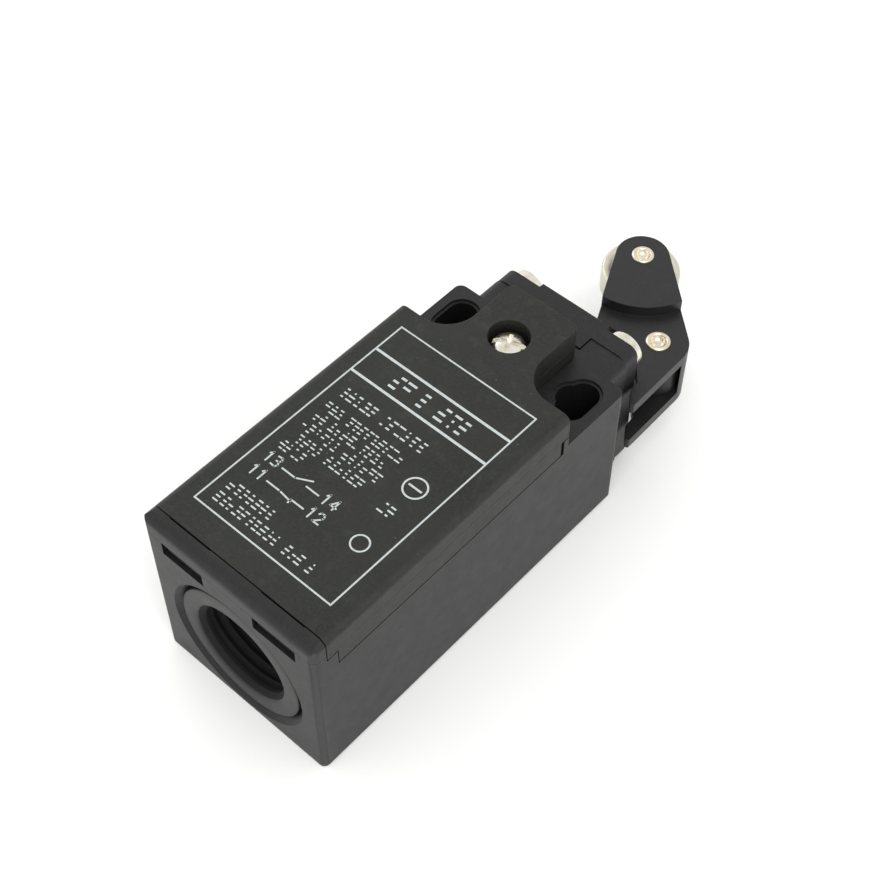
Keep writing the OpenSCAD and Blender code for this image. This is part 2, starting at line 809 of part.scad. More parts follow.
// side is 1 where the points face the head and -1 where they face the cable end
module bridge(plate_y, side) {
    slab(2 * bridge_x, plate_y, plate_y + bridge_t, axis_z - bridge_h / 2, axis_z + bridge_h / 2);
    both_sides()
        bar_y(point_d, side > 0 ? plate_y + bridge_t - touch : plate_y - point_t,
            side > 0 ? plate_y + bridge_t + point_t : plate_y + touch, tab_x + tab_w / 2);
}

module nc_bridge() color([0.78, 0.6, 0.35]) placed() bridge(nc_plate_y, 1);

module no_bridge() color([0.78, 0.6, 0.35]) placed() bridge(no_plate_y, -1);

module nc_bridge_spring()
    color([0.7, 0.7, 0.7]) placed()
        spring_y(contact_spring_d, contact_wire, nc_plate_y - 1.75, nc_plate_y - 0.05, 2.5);

module no_bridge_spring()
    color([0.7, 0.7, 0.7]) placed()
        spring_y(contact_spring_d, contact_wire, no_plate_y + bridge_t + 0.05,
            no_plate_y + bridge_t + 1.95, 2.5);

// A fixed contact: a plate under its terminal screw and a tab that hangs beside the stem
module fixed_contact(term_y, tab_y) {
    difference() {
        union() {
            translate([tab_x, term_y - plate_w / 2, plate_z])
                cube([plate_x1 - tab_x, plate_w, plate_t]);
            translate([tab_x, tab_y, axis_z - bridge_h / 2])
                cube([tab_w, tab_t, plate_z + plate_t - axis_z + bridge_h / 2]);
        }
        translate([terminal_x, term_y, 0]) cylinder(d = terminal_d + 2 * thread_gap, h = case_h);
    }
}

module contact_11() color([0.75, 0.6, 0.32]) placed() mirror([1, 0, 0]) fixed_contact(nc_term_y, nc_y);

module contact_12() color([0.75, 0.6, 0.32]) placed() fixed_contact(nc_term_y, nc_y);

module contact_13()
    color([0.75, 0.6, 0.32]) placed() mirror([1, 0, 0]) fixed_contact(no_term_y, no_y - tab_t);

module contact_14() color([0.75, 0.6, 0.32]) placed() fixed_contact(no_term_y, no_y - tab_t);

module terminal_screws() {
    color([0.75, 0.73, 0.66]) placed() terminal_places() difference() {
        union() {
            translate([0, 0, terminal_hole_z + over])
                cylinder(d = terminal_d, h = terminal_seat - terminal_hole_z);
            translate([0, 0, terminal_seat]) cylinder(d = terminal_head_d, h = terminal_head_h);
        }
        slab(2 * terminal_head_d, -terminal_d / 8, terminal_d / 8,
            terminal_seat + terminal_head_h - driver_slot_h, terminal_seat + terminal_head_h + over);
    }
}

module terminal_clamps() {
    color([0.7, 0.7, 0.68]) placed() terminal_places() translate([0, 0, clamp_z]) difference() {
        translate([-clamp_w / 2, -clamp_w / 2, 0]) cube([clamp_w, clamp_w, clamp_t]);
        translate([0, 0, -over]) cylinder(d = terminal_d + 2 * thread_gap, h = clamp_t + 2 * over);
    }
}

housing();
cover();
cover_gasket();
cover_screw();
cover_screw_insert();
entry_bush();
entry_seal();
head();
head_gasket();
head_screws();
plunger();
plunger_seal();
plunger_spring();
lever();
pivot_rivet();
roller_rivet();
roller();
contact_block();
contact_block_lid();
contact_block_screws();
contact_stem();
stem_spring();
nc_bridge();
no_bridge();
nc_bridge_spring();
no_bridge_spring();
contact_11();
contact_12();
contact_13();
contact_14();
terminal_screws();
terminal_clamps();
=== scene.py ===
"""A compact limit switch: plastic case with a hooked cover, cable entry, sprung head and roller lever.

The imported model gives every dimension. This add-on gives each visible piece its finished shape and its
material, and sets up a plain studio round the switch.
"""

import json
import math
import random

import bmesh
import bpy
from bpy.props import FloatProperty, FloatVectorProperty, IntProperty, PointerProperty
from mathutils import Matrix, Vector


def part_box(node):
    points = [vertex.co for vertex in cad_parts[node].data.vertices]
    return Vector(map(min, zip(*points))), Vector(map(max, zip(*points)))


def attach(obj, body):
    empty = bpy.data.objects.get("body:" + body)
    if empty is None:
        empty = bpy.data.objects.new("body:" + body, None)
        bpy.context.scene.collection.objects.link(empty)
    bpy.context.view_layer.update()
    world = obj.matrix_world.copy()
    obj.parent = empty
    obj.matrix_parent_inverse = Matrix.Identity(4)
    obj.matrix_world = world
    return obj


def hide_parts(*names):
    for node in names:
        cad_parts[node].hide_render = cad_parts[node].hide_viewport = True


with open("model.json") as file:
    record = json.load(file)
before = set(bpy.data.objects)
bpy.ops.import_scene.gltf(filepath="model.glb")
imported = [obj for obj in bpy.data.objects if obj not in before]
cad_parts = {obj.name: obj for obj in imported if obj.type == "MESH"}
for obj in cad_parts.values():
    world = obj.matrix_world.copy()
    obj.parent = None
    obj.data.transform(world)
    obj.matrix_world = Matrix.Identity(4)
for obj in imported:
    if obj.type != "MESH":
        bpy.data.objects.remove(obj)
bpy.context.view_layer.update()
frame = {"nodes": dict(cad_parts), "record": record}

bl_info = {
    "name": "Limit switch",
    "version": (1, 0, 0),
    "blender": (4, 5, 0),
    "location": "View3D > Sidebar > Limit switch",
    "description": "Finishes a limit switch with a roller lever and sets up its studio",
    "category": "Object",
}

MM = 0.001
TINY = 1e-7  # lengths below this count as nothing

DUST_FILM = (0.45, 0.43, 0.39, 1.0)
DUST_SPECK = (0.42, 0.41, 0.38, 1.0)
# paler colour for the case's and cover's outer edges: partly rubbing wear, partly a painted edge highlight
PALE_EDGE_WEAR_AND_HIGHLIGHT = (0.050, 0.052, 0.048, 1.0)
# near-black painted shade for the inside of the entry bush's bore
UNLIT = (0.001, 0.001, 0.001, 1.0)


# ---------------------------------------------------------------- settings


def length(name, description, default_mm):
    return FloatProperty(
        name=name, description=description, default=default_mm * MM, min=0.0, subtype="DISTANCE", unit="LENGTH"
    )


class SwitchShape(bpy.types.PropertyGroup):
    """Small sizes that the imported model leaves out."""

    case_edge: length("Case edge", "Rounding of the case's and cover's edges", 0.28)
    lever_edge: length("Lever edge", "Rounding of the lever's edges", 0.3)
    head_edge: length("Head edge", "Rounding of the head's edges", 0.25)
    inner_edge: length("Inner edge", "Rounding of the parts inside the case", 0.1)
    roller_bore: length("Roller bore", "Radius of the roller's bore", 1.53)
    roller_edge: length("Roller edge", "Rounding of the roller's rims", 0.5)
    rivet_rim: length("Rivet rim", "How far a rivet's rim stands beyond its shank", 0.25)
    rivet_height: length("Rivet height", "Height of a rivet's rolled rim", 0.3)
    rivet_cup: length("Rivet cup", "Depth of the cup in a rivet's end", 0.95)
    screw_head: length("Screw head", "Height of a screw's head", 2.0)
    screw_dome: length("Screw dome", "Height of the dome on a screw's head", 0.75)
    screw_shank: length("Screw shank", "Radius of a screw's shank", 1.45)
    head_screw_radius: length("Head screw", "Radius of the heads of the head's screws", 2.75)
    driver_width: length("Driver slot", "Width of a screw's driver slot", 0.8)
    slot_depth: length("Slot depth", "Depth of the cover screw's slot", 0.75)
    cross_depth: length("Cross depth", "Depth of a screw's cross recess", 1.1)
    cross_reach: length("Cross reach", "Half the length of a cross recess's arms", 1.6)
    cross_taper: length("Cross taper", "How much narrower a cross recess is at its floor", 0.12)
    bush_flange: length("Bush flange", "Thickness of the entry bush's flange", 1.25)
    bush_bore: length("Bush bore", "Radius of the entry bush's bore", 7.2)
    bush_outer: length("Bush outer", "Radius of the entry bush's outer thread", 10.0)
    thread_pitch: length("Thread pitch", "Pitch of the entry bush's threads", 1.5)
    thread_depth: length("Thread depth", "Depth of the entry bush's threads", 0.45)
    plunger_radius: length("Plunger radius", "Radius of the plunger in its guide", 3.0)
    rod_radius: length("Rod radius", "Radius of the plunger's push rod", 1.9)
    collar_length: length("Collar length", "Length of the plunger's collar", 1.5)
    line_width: length("Line width", "Width of the printed frame's line", 0.24)
    ink_height: length("Ink height", "Thickness of the print", 0.008)
    segments: IntProperty(name="Segments", description="Sides of turned parts", default=112, min=16, max=256)


class SwitchStudio(bpy.types.PropertyGroup):
    """Camera and lights."""

    camera_place: FloatVectorProperty(
        name="Camera", description="Place of the camera", default=(0.0909, -0.1162, 0.1957), subtype="TRANSLATION"
    )
    camera_aim: FloatVectorProperty(
        name="Aim", description="Point the camera looks at", default=(-0.0026, -0.0111, 0.0120), subtype="TRANSLATION"
    )
    camera_roll: FloatProperty(
        name="Roll", description="Turn of the camera round its own axis", default=math.radians(0.3), subtype="ANGLE"
    )
    focal_length: FloatProperty(name="Focal length", description="Focal length in millimetres", default=66.24)
    key_power: FloatProperty(name="Key light", description="Power of the large light", default=2.4, unit="POWER")
    rim_power: FloatProperty(name="Rim light", description="Power of the light behind", default=0.3, unit="POWER")
    sky_level: FloatProperty(name="Walls", description="Brightness of the surroundings", default=1.02)
    ceiling: FloatProperty(name="Ceiling", description="Brightness of the ceiling beside the walls", default=0.95)


# ---------------------------------------------------------------- shader building


class Wire:
    """One output of a shader node. Arithmetic on wires adds Math nodes."""

    def __init__(self, shader, socket):
        self.shader = shader
        self.socket = socket

    def _maths(self, operation, first, second):
        return self.shader.node("ShaderNodeMath", {"operation": operation}, {0: first, 1: second})

    def __add__(self, other):
        return self._maths("ADD", self, other)

    def __radd__(self, other):
        return self._maths("ADD", other, self)

    def __sub__(self, other):
        return self._maths("SUBTRACT", self, other)

    def __rsub__(self, other):
        return self._maths("SUBTRACT", other, self)

    def __mul__(self, other):
        return self._maths("MULTIPLY", self, other)

    def __rmul__(self, other):
        return self._maths("MULTIPLY", other, self)

    def __gt__(self, other):
        return self._maths("GREATER_THAN", self, other)

    def __lt__(self, other):
        return self._maths("LESS_THAN", self, other)

    def size(self):
        return self._maths("ABSOLUTE", self, 0.0)

    def ramp(self, low, high, to_low=0.0, to_high=1.0):
        """Maps low..high onto to_low..to_high, held at both ends."""
        return self.shader.node(
            "ShaderNodeMapRange",
            {"clamp": True},
            {"Value": self, "From Min": low, "From Max": high, "To Min": to_low, "To Max": to_high},
        )


class Nodes:
    """Adds nodes to a node tree."""

    def __init__(self, tree):
        self.tree = tree

    def set(self, socket, value):
        if isinstance(value, Wire):
            self.tree.links.new(value.socket, socket)
        else:
            socket.default_value = value

    def node(self, kind, settings=None, values=None, output=0):
        made = self.tree.nodes.new(kind)
        for key, value in (settings or {}).items():
            setattr(made, key, value)
        for key, value in (values or {}).items():
            self.set(made.inputs[key], value)
        return Wire(self, made.outputs[output])

    def blend(self, factor, first, second):
        """Colour that goes from first to second as factor goes from 0 to 1."""
        return self.node("ShaderNodeMix", {"data_type": "RGBA"}, {"Factor": factor, 6: first, 7: second}, output=2)


class Shader(Nodes):
    """A node material under construction."""

    SOCKETS = {
        "color": "Base Color",
        "roughness": "Roughness",
        "metallic": "Metallic",
        "normal": "Normal",
    }

    def __init__(self, name):
        self.material = bpy.data.materials.new(name)
        self.material.use_nodes = True
        super().__init__(self.material.node_tree)
        self.tree.nodes.clear()
        self.surface = self.tree.nodes.new("ShaderNodeBsdfPrincipled")
        output = self.tree.nodes.new("ShaderNodeOutputMaterial")
        self.tree.links.new(self.surface.outputs["BSDF"], output.inputs["Surface"])
        self.place = self.node("ShaderNodeTexCoord", output="Object")

    def axis(self, name):
        return self.node("ShaderNodeSeparateXYZ", values={0: self.place}, output=name)

    def stretched(self, x, y, z):
        return self.node("ShaderNodeMapping", values={"Vector": self.place, "Scale": (x, y, z)})

    def noise(self, per_mm, detail=2.0, roughness=0.5, vector=None):
        values = {"Scale": per_mm / MM, "Detail": detail, "Roughness": roughness, "Vector": vector or self.place}
        return self.node("ShaderNodeTexNoise", values=values)

    def cells(self, per_mm):
        values = {"Vector": self.place, "Scale": per_mm / MM}
        return self.node("ShaderNodeTexVoronoi", values=values, output="Distance")

    def bump(self, height, depth, normal=None):
        values = {"Height": height, "Distance": depth, "Strength": 1.0}
        if normal is not None:
            values["Normal"] = normal
        return self.node("ShaderNodeBump", values=values)

    def line(self, axis, at, width):
        """1 along a thin line where the axis crosses a place, and 0 beside it."""
        return (self.axis(axis) - at).size().ramp(width * 0.4, width, 1.0, 0.0)

    def finish(self, **values):
        for key, value in values.items():
            self.set(self.surface.inputs[self.SOCKETS[key]], value)
        return self.material


def scaled(color, factor):
    return tuple(c * factor for c in color[:3]) + (1.0,)


def moulded(
    name, color, roughness, grain_mm=0.30, grain_depth=0.012, dust=0.1, mottle=0.4, shine=0.40,
    seam=None, edge_wear_and_highlight_box=None, painted_bore_shade=None,
):
    """Moulded plastic: spark-eroded grain, cloudy gloss, flow marks, rubbed patches and settled dust.

    seam is the axis and place of a fine mould line. The box argument gives a box whose outer edges are painted
    paler and smoother, partly as rubbing wear and partly as a painted edge highlight. The bore argument gives the x,
    z and radius of a bore along Y whose inside is painted near-black as painted shade.
    """
    s = Shader(name)
    s.surface.inputs["Specular IOR Level"].default_value = shine
    grain = s.noise(1 / grain_mm, detail=3.0, roughness=0.6)
    flow = s.noise(0.07, detail=3.0, roughness=0.55)
    rubbed = s.noise(0.45, detail=5.0, roughness=0.68)
    fine = s.noise(2.2, detail=2.0, roughness=0.7)
    specks = s.cells(0.75).ramp(0.030, 0.05, 1.0, 0.0) * (s.noise(0.3) > 0.56)
    film = s.node("ShaderNodeNewGeometry", output="Normal")
    upward = s.node("ShaderNodeSeparateXYZ", values={0: film}, output="Z").ramp(0.4, 1.0)
    base = s.blend(flow.ramp(0.35, 0.65), scaled(color, 1 - mottle / 2), scaled(color, 1 + mottle / 2))
    base = s.blend(fine.ramp(0.35, 0.7), base, scaled(color, 1 + mottle))
    base = s.blend(rubbed.ramp(0.52, 0.8) * upward * 0.05 * dust, base, DUST_FILM)
    base = s.blend(specks * dust * 0.6, base, DUST_SPECK)
    gloss = rubbed.ramp(0.3, 0.72, roughness - 0.03, roughness + 0.04)
    if edge_wear_and_highlight_box:
        # 1 close to the box's two faces across each axis; an edge is close to two axes' faces at once
        near = []
        for axis, low, high in zip("XYZ", *edge_wear_and_highlight_box):
            half = (high - low) / 2
            near.append((s.axis(axis) - (low + high) / 2).size().ramp(half - 0.75 * MM, half - 0.2 * MM))
        edge = near[0] * near[1] + near[1] * near[2] + near[0] * near[2]
        edge = edge * rubbed.ramp(0.35, 0.6, 0.25, 1.0)
        # painted edge highlight and wear: the outer edges are tinted paler, partly as rubbing wear and partly as a
        # painted highlight
        base = s.blend(edge * 0.45, base, PALE_EDGE_WEAR_AND_HIGHLIGHT)
        gloss = gloss - edge * 0.07
    if painted_bore_shade:
        x, z, radius = painted_bore_shade
        away = s.axis("X") - x, s.axis("Z") - z
        inside = (away[0] * away[0] + away[1] * away[1]) < radius * radius
        # painted shade: the inside of the bore is coloured near-black and made rougher
        base = s.blend(inside * 0.8, base, UNLIT)
        gloss = gloss + inside * 0.4
    normal = s.bump(grain, grain_depth * MM)
    if seam:
        axis, at = seam
        normal = s.bump(s.line(axis, at, 0.16 * MM), 0.04 * MM, normal)
    return s.finish(color=base, roughness=gloss, normal=normal)


def plated(name, color, roughness, warm=(0.42, 0.34, 0.2, 1.0), tint=0.5, stretch=(1.0, 1.0, 1.0)):
    """Plated metal: cloudy gloss, fine handling marks and a warmer tone where the plating is thin."""
    s = Shader(name)
    cloud = s.noise(0.9, detail=5.0, roughness=0.62)
    fine = s.noise(7.0, detail=3.0, roughness=0.6, vector=s.stretched(*stretch))
    pits = s.cells(2.6).ramp(0.05, 0.12, 1.0, 0.0) * (s.noise(0.9) > 0.55)
    base = s.blend(cloud.ramp(0.45, 0.8) * tint, color, warm)
    base = s.blend(pits * 0.5, base, scaled(color, 0.35))
    gloss = cloud.ramp(0.25, 0.75, roughness - 0.07, roughness + 0.12) + pits * 0.2
    return s.finish(color=base, roughness=gloss, metallic=1.0, normal=s.bump(fine - pits * 0.6, 0.006 * MM))


def printed(name):
    """Pale print: slightly uneven, thin in places, so that the plastic greys it."""
    s = Shader(name)
    patchy = s.noise(1.6, detail=4.0, roughness=0.7)
    pin = s.noise(6.0, detail=2.0).ramp(0.62, 0.7)
    base = s.blend(patchy.ramp(0.4, 0.75), (0.50, 0.54, 0.55, 1.0), (0.38, 0.41, 0.42, 1.0))
    base = s.blend(pin * 0.4, base, (0.12, 0.12, 0.12, 1.0))
    return s.finish(color=base, roughness=patchy.ramp(0.3, 0.7, 0.42, 0.6), normal=s.bump(patchy, 0.004 * MM))


def paper(name):
    """The studio's floor: white card with a barely uneven tone."""
    s = Shader(name)
    tone = s.noise(0.02, detail=3.0)
    fibre = s.noise(1.5, detail=3.0)
    base = s.blend(tone.ramp(0.3, 0.7), (0.93, 0.93, 0.93, 1.0), (0.95, 0.95, 0.95, 1.0))
    return s.finish(color=base, roughness=0.85, normal=s.bump(fibre, 0.005 * MM))


MATERIALS = {}


def make_materials(shape):
    """Makes every material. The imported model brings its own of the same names, so these are kept by name here."""
    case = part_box("housing")
    case_top = case[1][2]
    case_middle = (case[0][2] + case_top) / 2
    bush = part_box("entry_bush")
    # the entry bush's bore, whose inside is painted near-black as painted shade
    bore = ((bush[0][0] + bush[1][0]) / 2, (bush[0][2] + bush[1][2]) / 2, shape.bush_bore + 0.65 * MM)
    made = [
        # the case and cover get paler edges round the housing's box: rubbing wear and a painted edge highlight
        moulded(
            "case_plastic", (0.0072, 0.0077, 0.0076, 1.0), 0.46, grain_depth=0.013, dust=0.45, mottle=0.5,
            shine=0.35, seam=("Z", case_middle + 11.4 * MM), edge_wear_and_highlight_box=case,
        ),
        moulded(
            "cover_plastic", (0.0094, 0.0104, 0.0080, 1.0), 0.50, grain_mm=0.26, grain_depth=0.017, dust=0.7,
            mottle=0.6, shine=0.35, seam=("Z", case_top - 3.7 * MM), edge_wear_and_highlight_box=case,
        ),
        moulded("lever_plastic", (0.0085, 0.0094, 0.0090, 1.0), 0.42, grain_depth=0.009, dust=0.35),
        moulded("bush_plastic", (0.0078, 0.0083, 0.0080, 1.0), 0.46, grain_depth=0.010, dust=0.3, painted_bore_shade=bore),
        moulded("rubber", (0.0050, 0.0050, 0.0050, 1.0), 0.75, mottle=0.2),
        plated("nickel_steel", (0.80, 0.77, 0.70, 1.0), 0.24, tint=0.55),
        plated("rivet_metal", (0.78, 0.72, 0.60, 1.0), 0.28, tint=0.6),
        plated("roller_metal", (0.68, 0.65, 0.55, 1.0), 0.40, (0.5, 0.45, 0.33, 1.0), 0.4, (0.3, 0.3, 2.0)),
        plated("brass", (0.75, 0.56, 0.25, 1.0), 0.30, (0.5, 0.3, 0.1, 1.0)),
        plated("contact_alloy", (0.78, 0.60, 0.40, 1.0), 0.30, (0.5, 0.3, 0.15, 1.0)),
        plated("spring_steel", (0.62, 0.62, 0.62, 1.0), 0.25, (0.35, 0.33, 0.3, 1.0)),
        moulded("block_plastic", (0.30, 0.28, 0.23, 1.0), 0.45, grain_depth=0.008, mottle=0.12),
        moulded("lid_plastic", (0.56, 0.53, 0.44, 1.0), 0.45, grain_depth=0.008, mottle=0.10),
        printed("panel_print"),
        paper("studio_card"),
    ]
    for one in made:
        MATERIALS[one.name.split(".")[0]] = one


def material(name):
    return MATERIALS[name]


# ---------------------------------------------------------------- mesh building


def arc(centre_r, centre_h, radius_r, radius_h, start, end, steps=8):
    """Points of an elliptical arc in a turned part's section, from start to end in degrees."""
    return [
        (centre_r + radius_r * math.cos(math.radians(a)), centre_h + radius_h * math.sin(math.radians(a)))
        for a in (start + (end - start) * i / steps for i in range(steps + 1))
    ]


def turn(bm, section, segments, place, closed=False, thread=None):
    """Turns a section of (radius, height) points into a skin round the local Z axis.

    thread(radius, height, angle) can return another radius, for a helix.
    """
    rings = []
    for radius, height in section:
        if radius < TINY:
            rings.append([bm.verts.new(place @ Vector((0.0, 0.0, height)))])
            continue
        ring = []
        for k in range(segments):
            angle = 2 * math.pi * k / segments
            r = thread(radius, height, angle) if thread else radius
            ring.append(bm.verts.new(place @ Vector((r * math.cos(angle), r * math.sin(angle), height))))
        rings.append(ring)
    pairs = list(zip(rings, rings[1:]))
    if closed:
        pairs.append((rings[-1], rings[0]))
    for a, b in pairs:
        for k in range(segments):
            n = (k + 1) % segments
            corners = [a[k % len(a)], a[n % len(a)], b[n % len(b)], b[k % len(b)]]
            unique = list(dict.fromkeys(corners))
            if len(unique) > 2:
                bm.faces.new(unique)


def block(bm, low, high, place=Matrix.Identity(4), taper=0.0):
    """A box between two corners, whose lower face can be narrower by taper on each side."""
    x0, y0, z0 = low
    x1, y1, z1 = high
    points = [
        (x0 + taper, y0 + taper, z0), (x1 - taper, y0 + taper, z0),
        (x1 - taper, y1 - taper, z0), (x0 + taper, y1 - taper, z0),
        (x0, y0, z1), (x1, y0, z1), (x1, y1, z1), (x0, y1, z1),
    ]
    v = [bm.verts.new(place @ Vector(p)) for p in points]
    for face in ((3, 2, 1, 0), (4, 5, 6, 7), (0, 1, 5, 4), (1, 2, 6, 5), (2, 3, 7, 6), (3, 0, 4, 7)):
        bm.faces.new([v[i] for i in face])


def add_piece(name, bm, slot_name, body, replaced=(), smooth_angle=35.0):
    """Makes the object of a finished piece and ties it to its body."""
    if not bm.faces:
        raise RuntimeError(f"{name} came out empty")
    bmesh.ops.recalc_face_normals(bm, faces=bm.faces)
    mesh = bpy.data.meshes.new(name)
    bm.to_mesh(mesh)
    bm.free()
    for polygon in mesh.polygons:
        polygon.use_smooth = True
    mesh.set_sharp_from_angle(angle=math.radians(smooth_angle))
    obj = bpy.data.objects.new(name, mesh)
    bpy.context.scene.collection.objects.link(obj)
    mesh.materials.append(material(slot_name))
    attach(obj, body)
    if replaced:
        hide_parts(*replaced)
    return obj


def cut_away(bm, cutter):
    """Takes the cutter's shape out of bm, and returns the cut mesh as a new bmesh."""
    scene = bpy.context.scene.collection
    objects = []
    for name, source in (("whole", bm), ("cutter", cutter)):
        bmesh.ops.recalc_face_normals(source, faces=source.faces)
        mesh = bpy.data.meshes.new(name)
        source.to_mesh(mesh)
        source.free()
        objects.append(bpy.data.objects.new(name, mesh))
        scene.objects.link(objects[-1])
    whole, tool = objects
    cut = whole.modifiers.new("cut", "BOOLEAN")
    cut.operation = "DIFFERENCE"
    cut.solver = "EXACT"
    cut.object = tool
    result = bmesh.new()
    graph = bpy.context.evaluated_depsgraph_get()
    result.from_object(whole, graph)
    for obj in objects:
        mesh = obj.data
        bpy.data.objects.remove(obj)
        bpy.data.meshes.remove(mesh)
    return result


def soften(obj, width, angle=32.0, segments=3):
    """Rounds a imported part's edges and keeps its flat faces flat."""
    weld = obj.modifiers.new("weld", "WELD")
    weld.merge_threshold = 1e-6
    flat = obj.modifiers.new("flatten", "DECIMATE")
    flat.decimate_type = "DISSOLVE"
    flat.angle_limit = math.radians(0.5)
    bevel = obj.modifiers.new("soften", "BEVEL")
    bevel.width = width
    bevel.segments = segments
    bevel.limit_method = "ANGLE"
    bevel.angle_limit = math.radians(angle)
    bevel.use_clamp_overlap = True
    weights = obj.modifiers.new("even", "WEIGHTED_NORMAL")
    weights.mode = "FACE_AREA"
    weights.weight = 100
    for polygon in obj.data.polygons:
        polygon.use_smooth = True


def extent(node):
    """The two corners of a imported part's box, and its middle."""
    low, high = (Vector(c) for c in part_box(node))
    return low, high, (low + high) / 2


def along_y(x, z):
    """Placement that lays a turned part's axis along +Y."""
    return Matrix.Translation((x, 0.0, z)) @ Matrix.Rotation(math.radians(-90), 4, "X")


def body_of(node):
    for body, nodes in frame["record"]["behaviour"]["bodies"].items():
        if node in nodes:
            return body
    raise RuntimeError(f"{node} is in no body")


# ---------------------------------------------------------------- operators


class Builder(bpy.types.Operator):
    """Shared by the operators that make one piece."""

    bl_idname = "limit_switch.builder"
    bl_label = "Builder"
    bl_options = {"REGISTER", "UNDO"}

    def build(self, shape):
        raise NotImplementedError

    def execute(self, context):
        self.build(context.scene.switch_shape)
        return {"FINISHED"}


class SWITCH_OT_packed_parts(Builder):
    """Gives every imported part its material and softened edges"""

    bl_idname = "limit_switch.packed_parts"
    bl_label = "Packed parts"

    def build(self, shape):
        make_materials(shape)
        slots = {part["node"]: part["material_slot"] for part in frame["record"]["subparts"]}
        edges = {
            "housing": shape.case_edge,
            "cover": shape.case_edge,
            "head": shape.head_edge,
            "lever": shape.lever_edge,
        }
        replaced = {"roller", "pivot_rivet", "roller_rivet", "plunger", "cover_screw", "head_screws", "entry_bush"}
        for node, obj in frame["nodes"].items():
            obj.data.materials.clear()
            obj.data.materials.append(material(slots[node]))
            if node in replaced or "spring" in node:
                for polygon in obj.data.polygons:
                    polygon.use_smooth = True
                continue
            soften(obj, edges.get(node, shape.inner_edge))


class SWITCH_OT_roller(Builder):
    """Turns the lever's roller, with rounded rims and a shallow ring in each face"""

    bl_idname = "limit_switch.roller"
    bl_label = "Roller"

    def build(self, shape):
        low, high, mid = extent("roller")
        radius = (high.x - low.x) / 2
        edge = shape.roller_edge
        inner, outer = radius * 0.42, radius * 0.8
        dip, ease = 0.12 * MM, 0.15 * MM
        half = [
            (shape.roller_bore, high.z - ease),
            (shape.roller_bore + ease, high.z),
            (inner, high.z),
            (inner + dip, high.z - dip),
            (outer - dip, high.z - dip),
            (outer, high.z),
        ] + arc(radius - edge, high.z - edge, edge, edge, 90, 0)
        section = half + [(r, low.z + high.z - h) for r, h in reversed(half)]
        bm = bmesh.new()
        turn(bm, section, shape.segments, Matrix.Translation((mid.x, mid.y, 0.0)), closed=True)
        add_piece("turned_roller", bm, "roller_metal", "roller", ["roller"], 50.0)


class SWITCH_OT_rivets(Builder):
    """Makes the two rivets with their rolled rims and cupped ends"""

    bl_idname = "limit_switch.rivets"
    bl_label = "Rivets"
    CUP_SHARE = 0.62  # the cup's radius, as a share of the shank's

    def build(self, shape):
        for node in ("pivot_rivet", "roller_rivet"):
            low, high, mid = extent(node)
            rim = (high.x - low.x) / 2
            shank = rim - shape.rivet_rim
            bore = shank * self.CUP_SHARE
            floor = high.z - shape.rivet_cup
            lip = shape.rivet_height
            inset = 0.2 * lip
            half = [
                (0.0, floor),
                (bore * 0.5, floor),
                (bore * 0.86, floor + 0.12 * MM),
                (bore, floor + 0.4 * MM),
                (bore + 0.25 * lip, high.z - 1.6 * lip),
            ]
            half += arc((bore + rim) / 2 + inset, high.z - lip, (rim - bore) / 2 - inset, lip, 180, 0, 12)
            half += [(shank, high.z - lip * 1.05)]
            section = half + [(r, low.z + high.z - h) for r, h in reversed(half)]
            bm = bmesh.new()
            turn(bm, section, 64, Matrix.Translation((mid.x, mid.y, 0.0)))
            add_piece("rolled_" + node, bm, "rivet_metal", body_of(node), [node], 60.0)


class SWITCH_OT_plunger(Builder):
    """Turns the head's plunger, with its domed tip, collar and push rod"""

    bl_idname = "limit_switch.plunger"
    bl_label = "Plunger"

    def build(self, shape):
        low, high, mid = extent("plunger")
        spring_end, seat_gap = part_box("plunger_spring")[1][1], 0.1 * MM
        collar = spring_end + seat_gap
        collar_r = (high.x - low.x) / 2
        ease = 0.2 * MM
        rod, stem = shape.rod_radius, shape.plunger_radius
        section = [
            (0.0, low.y),
            (rod - ease, low.y),
            (rod, low.y + ease),
            (rod, collar),
            (collar_r - ease, collar),
            (collar_r, collar + ease),
            (collar_r, collar + shape.collar_length - ease),
            (collar_r - ease, collar + shape.collar_length),
            (stem, collar + shape.collar_length),
        ]
        dome = 0.9 * MM
        section += arc(0.0, high.y - dome, stem, dome, 0, 89, 12) + [(0.0, high.y)]
        bm = bmesh.new()
        turn(bm, section, shape.segments, along_y(mid.x, mid.z))
        add_piece("domed_plunger", bm, "nickel_steel", "plunger", ["plunger"], 40.0)


def screw_section(start, end, head, shape):
    """Section of a domed screw from the tip of its shank to the top of its head."""
    seat, shank = end - shape.screw_head, shape.screw_shank
    ease = 0.12 * MM
    section = [(0.0, start), (shank - 2 * ease, start), (shank, start + 2 * ease), (shank, seat)]
    section += [(head - ease, seat), (head, seat + ease)]
    section += arc(0.0, end - shape.screw_dome, head, shape.screw_dome, 0, 88, 14) + [(0.0, end)]
    return section


class SWITCH_OT_cover_screw(Builder):
    """Makes the cover's domed screw, which has a slot across a cross recess"""

    bl_idname = "limit_switch.cover_screw"
    bl_label = "Cover screw"
    SLOT_ANGLE = 24  # degrees from the case's width

    def build(self, shape):
        low, high, mid = extent("cover_screw")
        place = Matrix.Translation((mid.x, mid.y, 0.0)) @ Matrix.Rotation(math.radians(self.SLOT_ANGLE), 4, "Z")
        head = (high.x - low.x) / 2
        bm = bmesh.new()
        turn(bm, screw_section(low.z, high.z, head, shape), 72, place)
        half, reach = shape.driver_width / 2, shape.cross_reach
        above = high.z + MM
        slot, cross = bmesh.new(), bmesh.new()
        block(slot, (-2 * head, -half, high.z - shape.slot_depth), (2 * head, half, above), place)
        floor = high.z - shape.cross_depth
        block(cross, (-half, -reach, floor), (half, reach, above), place, shape.cross_taper)
        bm = cut_away(cut_away(bm, slot), cross)
        add_piece("domed_cover_screw", bm, "nickel_steel", "case", ["cover_screw"], 30.0)


